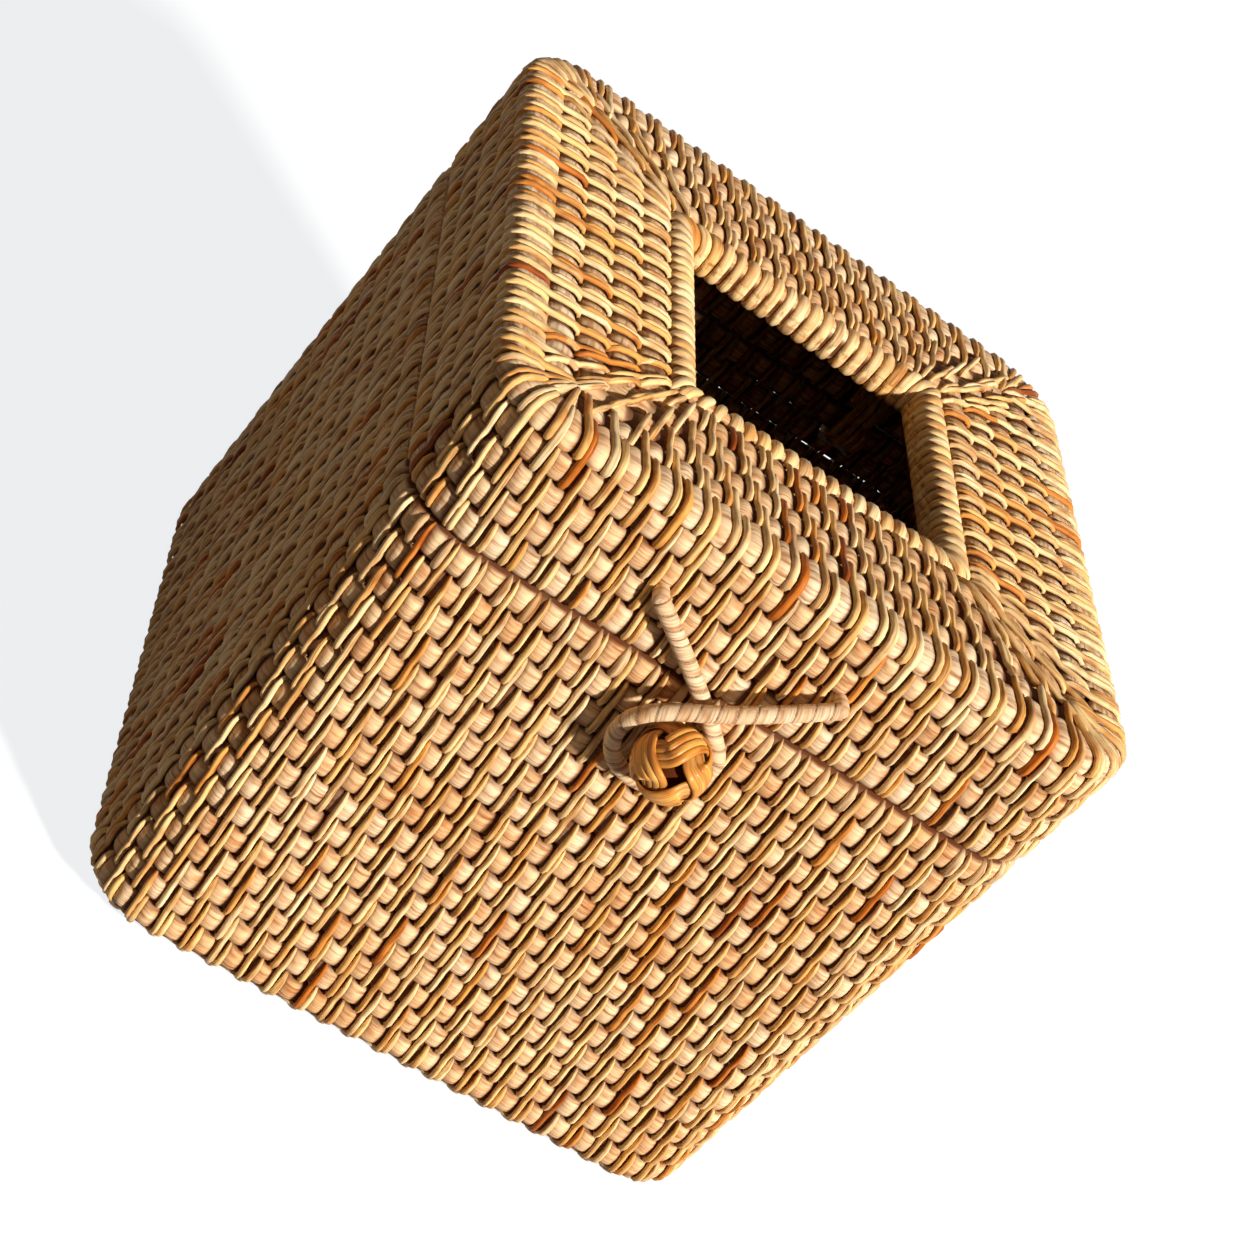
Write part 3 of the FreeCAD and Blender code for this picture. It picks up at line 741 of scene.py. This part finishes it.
def edge_and_foot():
    """The edge coil, the foot coil and their strips, whose paths hold (out from the outline, up) pairs."""
    section = rounded(EDGE_SECTION, EDGE_RADII) + np.array([EDGE_WIDTH / 2, EDGE_BOTTOM])
    half = HALF - EDGE_WIDTH / 2
    coil_mesh("lid_edge_coil", "lid", half, section, EDGE_WOBBLE, EDGE_TONE, EDGE_MEETS_SHARES, pair_place(0))
    section = rounded(FOOT_SECTION, FOOT_RADII) + np.array([FOOT_WIDTH / 2, 0.0])
    half = HALF - FOOT_INSET - FOOT_WIDTH / 2
    coil_mesh("foot_coil", "base", half, section, FOOT_WOBBLE, FOOT_TONE, FOOT_MEETS_SHARES,
              pair_place(BASE_ROWS))

    # Over the edge coil and down over the lid's top row
    top, seam, row = LID_TOP - STRIP, EDGE_BOTTOM - GAP / 2, EDGE_BOTTOM - PITCH
    bend = EDGE_RADII[2]
    over = [(-STRIP - bend, top), (-STRIP - bend / 2, top - 0.13 * bend),
            (-STRIP - 0.13 * bend, top - bend / 2), (-STRIP, top - bend)]
    front = [(-EDGE_WIDTH - 0.15, top - 1.3), (-EDGE_WIDTH + 0.5, top - 0.4), (-EDGE_WIDTH + 1.6, top)]
    front += over + [(-STRIP - 0.12, seam), (-STRIP, seam - 1.4), (-STRIP + 0.04, row + 2.6),
                     (-STRIP - 0.04, row + 1.3), (-STRIP - 0.5, row + 0.4), (-STRIP - 1.4, row - 0.1)]
    back = [(-THICK + 1.3, row + 0.3), (-THICK + STRIP, row + 1.8), (-THICK + STRIP, seam - 0.6),
            (-THICK - 0.4, seam + STRIP), (-EDGE_WIDTH + 1.2, seam + STRIP)]
    edge_strips("lid_edge_stitches", "lid", front, back, 0)

    # Over the first flat coil and the edge coil
    first = -EDGE_WIDTH - GAP - FLAT_PITCH
    front = [(first + 0.1, top - 1.3), (first + 0.6, top - 0.4), (first + 1.6, top),
             (first + 3.0, top + 0.04), (first + 4.8, top - 0.06), (-EDGE_WIDTH - 0.15, top - 0.2),
             (-EDGE_WIDTH + 1.4, top - 0.04)]
    front += over + [(-STRIP - 0.5, seam + 0.4), (-STRIP - 1.4, seam)]
    back = [(-THICK - 0.4, seam + STRIP), (-EDGE_WIDTH + 0.6, seam + STRIP),
            (-EDGE_WIDTH - 2.0, EDGE_BOTTOM + STRIP), (first + 1.4, EDGE_BOTTOM + STRIP)]
    edge_strips("lid_shoulder_stitches", "lid", front, back, -1)

    # From the lowest row over the foot and under it
    row, foot = PITCH + ROW_HEIGHT + GAP / 2, -FOOT_INSET - STRIP
    front = [(-STRIP - 1.4, row), (-STRIP - 0.5, row - 0.5), (-STRIP, row - 1.4), (-STRIP, row - 3.6),
             (-STRIP - 0.3, row - 4.9), (-STRIP - 1.3, row - 5.9), (foot + 0.1, row - 6.8),
             (foot - 0.5, 3.6), (foot - 2.2, 2.2), (foot - 4.0, STRIP + 0.15), (foot - 5.4, STRIP),
             (foot - 6.5, STRIP + 0.3), (foot - 7.3, STRIP + 1.4)]
    back = [(foot - 7.2, ROW_HEIGHT - 0.9), (foot - 5.6, ROW_HEIGHT - 0.2), (-THICK - 0.2, PITCH + 0.3),
            (-THICK + STRIP, PITCH + 2.0), (-THICK + STRIP + 0.5, row - 0.5)]
    edge_strips("foot_stitches", "base", front, back, BASE_ROWS - 1)


def edge_strips(name, body, front, back, row):
    """Strips along a path of their own: front is what shows, and back goes home out of sight."""
    path = np.array(front + back)
    lead = lengths_along(np.array(front))
    share = np.concatenate([lead / lead[-1], np.linspace(1, 0, len(back) + 2)[1:-1]])
    wall_strips(name, body, path, share, len(front), row, EDGE_STRIP_WIDTH)


# Flat coils

def flat_start(row):
    """Where a flat row's stitches lie, in stitches from the start of the outline."""
    return 0.5 - ROW_SHIFT - TOP_SHIFT * (row + 1) / STITCH_PITCH


def flat_coils(prefix, body, outer, low, rows, piece, rod_half):
    """Rods that lie flat, one inside another, with stitches over each two."""
    for row in range(rows):
        half = outer - FLAT_PITCH * row - FLAT_WIDTH / 2
        bend = CORNER - (HALF - outer) - FLAT_PITCH * row
        level = low + FLAT_HEIGHT - STRIP - rod_half
        section = oval(FLAT_WIDTH / 2 + FLAT_SPARE, rod_half, 2.0) + np.array([0.0, level])
        pair = flat_start(row) + (TOP_SHIFT + TOP_LEAN) / 2 / STITCH_PITCH
        coil_mesh(f"{prefix}_{row + 1}", body, half, section, FLAT_WOBBLE, random_tone(), FLAT_MEETS_SHARES,
                  pair, square=bend <= FLAT_WIDTH, thin=1)
    batch = Batch()
    for row in range(rows):
        flat_stitches(batch, outer, low, row, min(2, rows - row), rod_half)
    batch.finish(piece, CANE, body)


def flat_stitches(batch, outer, low, row, span, rod_half):
    """Stitches over one or two flat rows, on all four sides."""
    inner = outer + GAP / 2 - FLAT_PITCH * (row + span)
    front, back = (STITCH_SHARES, BACK_SHARES) if span == 2 else (WRAP_SHARES, WRAP_BACK_SHARES)
    top = low + FLAT_HEIGHT - STRIP
    bottom = top - 2 * rod_half
    high = [(inner + down * FLAT_PITCH, top - inset) for down, inset in front]
    under = [(inner + down * FLAT_PITCH, bottom + inset * 0.8) for down, inset in back]
    share = [down / front[-1][0] for down, _ in front + back]
    path = np.array(high + under)
    reach = inner + span * FLAT_PITCH / 2
    for side in range(4):
        middle = SIDE_RUN * side + HALF - CORNER
        first = math.ceil((middle - reach) / STITCH_PITCH - flat_start(row))
        last = math.floor((middle + reach) / STITCH_PITCH - flat_start(row))
        middles = (np.arange(first, last + 1) + flat_start(row)) * STITCH_PITCH - middle
        number = len(middles)
        middles = middles + rng.normal(0, TOP_PLACE_SPREAD, number)
        lean = rng.normal(TOP_LEAN, TOP_LEAN_SPREAD, number)
        width = strip_widths(number, len(path), len(front), TOP_STRIP_WIDTH)
        flat_strips(batch, path, np.array(share), side, middles, reach, lean, width, tones(number),
                    end_shade(len(path), len(front)))


OPENING_RADII = [1.6, 1.6, 1.6, 2.4]


def opening_rim():
    """The opening's rolled edge: a rod with mitred corners, closely wrapped."""
    low, high = LID_TOP - RIM_HEIGHT + STRIP, LID_TOP - STRIP
    inner, outer = RIM_OUTER - RIM_WIDTH + STRIP, RIM_OUTER - STRIP
    section = rounded([(inner, low), (outer, low), (outer, high), (inner, high)], OPENING_RADII)
    middle = (inner + outer) / 2
    coil_mesh("opening_rim", "lid", middle, section - np.array([middle, 0.0]), OPENING_WOBBLE, OPENING_TONE,
              FLAT_MEETS_SHARES, square=True)
    path = section[::-1]
    share = np.linspace(0, 1, len(path), endpoint=False)
    number = int(2 * middle / OPENING_STRIP_PITCH)
    batch = Batch()
    for side in range(4):
        middles = -middle + (np.arange(number) + 0.5) * (2 * middle / number)
        middles = middles + rng.normal(0, OPENING_PLACE_SPREAD, number)
        width = OPENING_STRIP_WIDTH * rng.normal(1, OPENING_WIDTH_SPREAD, (number, 1))
        flat_strips(batch, path, share, side, middles, middle, np.zeros(number), width,
                    tones(number, OPENING_TONES), np.zeros(len(path)))
    batch.finish("opening_rim_wraps", CANE, "lid")


# The hinge lashings

def lashings():
    """Two strips wound over the lid's rim, down the wall, under the base's rim and up again."""
    low, high, radius = BASE_RIM_LEVEL, LID_RIM_LEVEL, LASHING_INNER
    section = STRIP_SHARES * np.array([LASHING_WIDTH / 2, STRIP])
    straight, bend = high - low, math.pi * radius
    length = 2 * (straight + bend)
    travel = np.linspace(0, length * LASHING_TURNS * LASHING_WOUND_SHARE, LASHING_STEPS * LASHING_TURNS)
    rest = np.mod(travel, length)
    turn = np.clip(rest / radius, 0, math.pi)
    down = np.clip(rest - bend, 0, straight)
    second = np.clip((rest - bend - straight) / radius, 0, math.pi)
    up = np.clip(rest - 2 * bend - straight, 0, straight)
    angle = math.pi - turn - second
    y = WALL_MIDDLE + radius * np.cos(angle)
    z = high - down + radius * np.sin(angle) + up
    normal = np.stack([np.zeros_like(angle), np.cos(angle), np.sin(angle)], axis=-1)
    around = lengths_along(section)
    for side, name in ((-1, "hinge_lashing_left"), (1, "hinge_lashing_right")):
        x = side * LASHING_OFFSET + (travel / length - LASHING_TURNS / 2) * LASHING_PITCH
        path = np.stack([x, y, z], axis=-1)
        onward = unit(np.gradient(path, axis=0))
        across = unit(np.cross(onward, normal))
        out = np.cross(across, onward)
        points = path[:, None] + across[:, None] * section[:, :1] + out[:, None] * section[:, 1:]
        tint = marks(points.shape, LASHING_TONE, 0.0)
        grain = marks(points.shape, lengths_along(path)[:, None], around, rng.random() * PIECE_SPREAD)
        batch = Batch()
        batch.add(points[None], tint, grain, ring=False)
        batch.finish(f"{name}_strip", CANE, "base", [name])


# The ball and the loop

CLOSURE_X = -5.0
BALL_RADIUS = 6.9
BALL_CENTRE = np.array([CLOSURE_X, -HALF - 0.8 - BALL_RADIUS, PITCH * 16 + ROW_HEIGHT / 2])
BALL_TURNS, BALL_BENDS = 3, 4
BALL_REACH = math.radians(52)
BALL_SPIN = math.radians(73)
BALL_POLE = np.array([-0.119, -0.941, 0.317])
BALL_DIP = 0.42
BALL_CROSSING = 2.6
BALL_STEPS = 420
BALL_STRIP, BALL_STRIP_WIDTH = 0.5, 1.42
BALL_STRANDS = (-1.5, -0.5, 0.5, 1.5)
BALL_STRAND_GRAIN = 3.7
BALL_TONES = (0.05, 0.6)
BALL_UNDER_SHADE = 0.35
BALL_CORE = BALL_RADIUS - BALL_STRIP - 2 * BALL_DIP - 1.3
LOOP_RADIUS = 1.5
LOOP_END_RADIUS = 1.42
LOOP_TONES = (0.1, 0.75)
LOOP_STEPS, LOOP_SIDES = 640, 16
LOOP_WRAP, LOOP_GROOVE = 3.1, 0.2
LOOP_GROOVE_SHARE, LOOP_GROOVE_SHADE_SHARE = 0.08, 0.06
LOOP_ROUTE = [
    (-18.0, 21.1, 1.8), (8.02, 4.25, 1.8), (9.35, -3.79, 1.8), (4.07, -10.0, 1.8), (-4.07, -10.0, 1.8),
    (-9.35, -3.79, 2.6), (-8.7, 4.9, 5.3), (5.0, 13.0, 5.3), (18.0, 21.1, 1.8),
]
LOOP_POINTS = [(CLOSURE_X + right, -HALF - out, BALL_CENTRE[2] + rise) for right, rise, out in LOOP_ROUTE]


def woven_ball():
    """A ball knot: one band of strips goes round three times and bends over four times at each end."""
    turn = np.linspace(0, 2 * math.pi, BALL_STEPS, endpoint=False)
    east, north = BALL_TURNS * turn + BALL_SPIN, BALL_REACH * np.sin(BALL_BENDS * turn)
    weave = -np.tanh(BALL_CROSSING * np.sin(2 * BALL_BENDS * turn)) / math.tanh(BALL_CROSSING)
    pole = unit(BALL_POLE)
    first = unit(np.cross([0.0, 0.0, 1.0], pole))
    second = np.cross(pole, first)
    facing = ((np.cos(north) * np.cos(east))[:, None] * first
              + (np.cos(north) * np.sin(east))[:, None] * second + np.sin(north)[:, None] * pole)
    onward = unit(np.roll(facing, -1, axis=0) - np.roll(facing, 1, axis=0))
    beside = np.cross(facing, onward)
    section = STRIP_SHARES * np.array([BALL_STRIP_WIDTH / 2, BALL_STRIP])
    under = np.clip((1 + weave) / 2, 0, 1)[:, None]
    batch = Batch()
    for strand in BALL_STRANDS:
        way = unit(facing + beside * strand * BALL_STRIP_WIDTH / BALL_RADIUS)
        path = way * (BALL_RADIUS - BALL_STRIP - BALL_DIP * (1 + weave))[:, None] + BALL_CENTRE
        ahead = unit(np.roll(path, -1, axis=0) - np.roll(path, 1, axis=0))
        across = unit(np.cross(ahead, way))
        points = path[:, None] + across[:, None] * section[:, :1] + way[:, None] * section[:, 1:]
        # Painted shade where a strand dips under another
        tint = marks(points.shape, rng.uniform(*BALL_TONES), BALL_UNDER_SHADE * under ** 2)
        grain = marks(points.shape, turn[:, None] * BALL_RADIUS * BALL_TURNS, section[:, 0],
                      strand * BALL_STRAND_GRAIN)
        batch.add(points[None], tint, grain, ring=True)
    batch.finish("button_ball_weave", BALL_CANE, "base", ["button_ball"])

    # The dark middle, which shows in the gaps of the weave, is all painted shade
    rings, around, tip = 14, 28, 0.03
    polar = np.linspace(tip, math.pi - tip, rings)[:, None]
    spread = np.linspace(0, 2 * math.pi, around, endpoint=False)[None, :]
    sphere = np.stack([np.sin(polar) * np.cos(spread), np.cos(polar) + 0 * spread,
                       np.sin(polar) * np.sin(spread)], axis=-1) * BALL_CORE + BALL_CENTRE
    batch = Batch()
    batch.add(sphere[None], np.array([0.0, 1.0, 0.0]), sphere[None], ring=False)
    batch.finish("button_ball_core", CORE, "base")


def spline_points(route, number):
    """Evenly spaced points on the smooth curve that the route's points control, and its length."""
    curve = bpy.data.curves.new("route", "CURVE")
    curve.dimensions = "3D"
    curve.resolution_u = 48
    spline = curve.splines.new("NURBS")
    spline.points.add(len(route) - 1)
    for point, place in zip(spline.points, route):
        point.co = (*place, 1.0)
    spline.order_u = 3
    spline.use_endpoint_u = True
    holder = new_object("route", curve)
    line = bpy.data.meshes.new_from_object(holder)
    points = np.array([tuple(v.co) for v in line.vertices])
    bpy.data.objects.remove(holder)
    bpy.data.curves.remove(curve)
    bpy.data.meshes.remove(line)
    lengths = lengths_along(points)
    even = np.linspace(0, lengths[-1], number)
    return np.stack([np.interp(even, lengths, points[:, axis]) for axis in range(3)], axis=-1), lengths[-1]


def wrapped_loop():
    """The loop: a thin rod closely wrapped with cane, whose edges show as a winding groove."""
    path, length = spline_points(LOOP_POINTS, LOOP_STEPS)
    onward = unit(np.gradient(path, axis=0))
    normal = np.zeros_like(path)
    normal[0] = unit(np.cross(onward[0], [0.0, 1.0, 0.0]))
    for index in range(1, len(path)):
        carried = normal[index - 1] - onward[index] * (normal[index - 1] @ onward[index])
        normal[index] = carried / np.linalg.norm(carried)
    other = np.cross(onward, normal)
    turn = np.linspace(0, 2 * math.pi, LOOP_SIDES, endpoint=False)
    run = np.linspace(0, length, len(path))
    winding = run[:, None] / LOOP_WRAP + turn / (2 * math.pi)
    phase, band = np.mod(winding, 1), np.floor(winding).astype(int)
    edge = np.minimum(phase, 1 - phase)
    cut = np.clip(1 - edge / LOOP_GROOVE_SHARE, 0, 1)
    radius = LOOP_RADIUS - LOOP_GROOVE * cut ** 2
    points = path[:, None] + radius[..., None] * (normal[:, None] * np.cos(turn)[:, None]
                                                 + other[:, None] * np.sin(turn)[:, None])
    tone = rng.uniform(*LOOP_TONES, band.max() + 1)
    # Painted shade along the groove between the wraps
    tint = marks(points.shape, tone[band], np.clip(1.1 - edge / LOOP_GROOVE_SHADE_SHARE, 0, 1))
    grain = marks(points.shape, turn * LOOP_RADIUS, phase * LOOP_WRAP, band)
    batch = Batch()
    batch.add(points[None], tint, grain, ring=False)
    obj = batch.finish("loop_cord_wrapped", WRAP, "loop", ["loop_cord"])


def loop_ends():
    """Where the loop's two ends go through the lid's wall to a knot inside."""
    wall, inside = -HALF, -HALF + THICK
    dome = [(math.sin(angle), wall - 1.8 - math.cos(angle)) for angle in np.linspace(0.1, 1.5, 6)]
    stem = [(1.0, wall), (1.0, inside - 0.3)]
    knot = [(1.6, inside + 0.3), (1.85, inside + 1.2), (1.6, inside + 2.0), (0.4, inside + 2.4)]
    shape = np.array(dome + stem + knot)
    turn = np.linspace(0, 2 * math.pi, 20, endpoint=False)
    for point, side in ((LOOP_POINTS[0], "left"), (LOOP_POINTS[-1], "right")):
        reach, depth = shape[:, :1] * LOOP_END_RADIUS, shape[:, 1:]
        points = np.stack([point[0] + reach * np.cos(turn), depth + 0 * turn,
                           point[2] + reach * np.sin(turn)], axis=-1)
        tint = marks(points.shape, 0.5, 0.0)
        grain = marks(points.shape, turn * 1.4, depth)
        batch = Batch()
        batch.add(points[None], tint, grain, ring=False)
        batch.finish(f"loop_end_{side}", WRAP, "lid", [f"loop_anchor_{side}"])


def kept_nodes(frame):
    """The part's own solids that stay in view get the same cane."""
    for name, material in (("floor_centre", CORE), ("button_tie", WRAP)):
        mesh = frame["nodes"][name].data
        mesh.materials.clear()
        mesh.materials.append(MATERIALS[material])


# Light and camera

# Each lamp's name, strength, spread in degrees, colour and the way to it
LAMPS = [("key", 5.9, 4, (1.0, 0.93, 0.85), (0.53, -0.72, 0.445)),
         ("fill", 0.24, 8, (1.0, 0.70, 0.42), (-0.56, -0.47, 0.68))]
# The world's colour and strength: the light that it gives, and what is seen of it
WORLD = [((1.0, 0.70, 0.46, 1.0), 0.022), ((1.0, 1.0, 1.0, 1.0), 1.0)]
FLOOR_REACH = 3.0
FLOOR_COLOUR = (0.2, 0.2, 0.2, 1.0)
FLOOR_GLOW_COLOUR = (0.955, 0.98, 1.0, 1.0)
FLOOR_GLOW = 0.86


def seen_rays(nodes, links):
    """One for what the camera sees, straight, mirrored or through glass, and nought for light itself."""
    rays = nodes.new("ShaderNodeLightPath")
    seen = rays.outputs["Is Camera Ray"]
    for kind in ("Is Glossy Ray", "Is Transmission Ray"):
        either = nodes.new("ShaderNodeMath")
        either.operation = "MAXIMUM"
        links.new(seen, either.inputs[0])
        links.new(rays.outputs[kind], either.inputs[1])
        seen = either.outputs["Value"]
    return seen


def studio():
    """A white world and floor to look at, dim light from all round, and two lamps."""
    world = bpy.data.worlds.new("studio")
    bpy.context.scene.world = world
    world.use_nodes = True
    nodes, links = world.node_tree.nodes, world.node_tree.links
    nodes.clear()
    output = nodes.new("ShaderNodeOutputWorld")
    mix = nodes.new("ShaderNodeMixShader")
    links.new(seen_rays(nodes, links), mix.inputs["Fac"])
    for index, (colour, strength) in enumerate(WORLD, 1):
        background = node_with(nodes, "ShaderNodeBackground", {"Color": colour, "Strength": strength})
        links.new(background.outputs["Background"], mix.inputs[index])
    links.new(mix.outputs["Shader"], output.inputs["Surface"])

    for name, energy, spread, colour, way in LAMPS:
        sun = bpy.data.lights.new(name, "SUN")
        sun.energy = energy
        sun.angle = math.radians(spread)
        sun.color = colour
        lamp = new_object(name, sun)
        lamp.rotation_mode = "QUATERNION"
        lamp.rotation_quaternion = Vector(way).to_track_quat("Z", "Y")

    floor = bpy.data.meshes.new("floor")
    corners = [(x * FLOOR_REACH, y * FLOOR_REACH, 0) for x, y in ((-1, -1), (1, -1), (1, 1), (-1, 1))]
    floor.from_pydata(corners, [], [(0, 1, 2, 3)])
    ground = new_object("floor", floor)
    material, nodes, links, shader = new_material("floor_white")
    shader.inputs["Roughness"].default_value = 0.9
    shader.inputs["Specular IOR Level"].default_value = 0.0
    shader.inputs["Emission Color"].default_value = FLOOR_GLOW_COLOUR
    glow = nodes.new("ShaderNodeMath")
    glow.operation = "MULTIPLY"
    glow.inputs[1].default_value = FLOOR_GLOW
    links.new(seen_rays(nodes, links), glow.inputs[0])
    links.new(glow.outputs["Value"], shader.inputs["Emission Strength"])
    shader.inputs["Base Color"].default_value = FLOOR_COLOUR
    floor.materials.append(material)


def camera():
    """The photograph's view, from a fit of the box's outline to the picture."""
    scale = 0.133
    sensor, picture_width, focal_pixels = 36.0, 1245, 2612.8
    right, down = Vector((0.80295, 0.01395, 0.59588)), Vector((0.48890, -0.58729, -0.64503))
    ahead = right.cross(down).normalized()
    place = Vector((-1.23420, -2.98108, 2.28973)) * scale
    lens = bpy.data.cameras.new("camera")
    lens.sensor_width = sensor
    lens.lens = sensor * focal_pixels / picture_width
    lens.clip_start = 0.01
    view = new_object("camera", lens)
    matrix = Matrix((right.normalized(), -down.normalized(), -ahead)).transposed().to_4x4()
    matrix.translation = place
    view.matrix_world = matrix
    bpy.context.scene.camera = view


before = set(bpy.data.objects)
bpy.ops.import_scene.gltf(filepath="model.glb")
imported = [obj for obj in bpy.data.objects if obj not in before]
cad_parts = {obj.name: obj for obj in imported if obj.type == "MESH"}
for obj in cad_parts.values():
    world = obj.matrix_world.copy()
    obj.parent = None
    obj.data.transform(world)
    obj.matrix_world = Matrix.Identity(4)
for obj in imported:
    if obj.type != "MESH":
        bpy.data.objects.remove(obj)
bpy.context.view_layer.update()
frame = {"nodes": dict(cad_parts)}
bpy.context.scene.view_settings.view_transform = "Standard"
camera()
wrapped_loop()
base_wall()
lid_wall()
edge_and_foot()
flat_coils("lid_top_coil", "lid", TOP_OUTER, EDGE_BOTTOM, TOP_ROWS, "lid_top_stitches", TOP_ROD_HALF)
flat_coils("floor_coil", "base", FLOOR_OUTER, 0.0, FLOOR_ROWS, "floor_stitches", FLAT_HEIGHT / 2 - STRIP)
opening_rim()
lashings()
woven_ball()
loop_ends()
kept_nodes(frame)
studio()
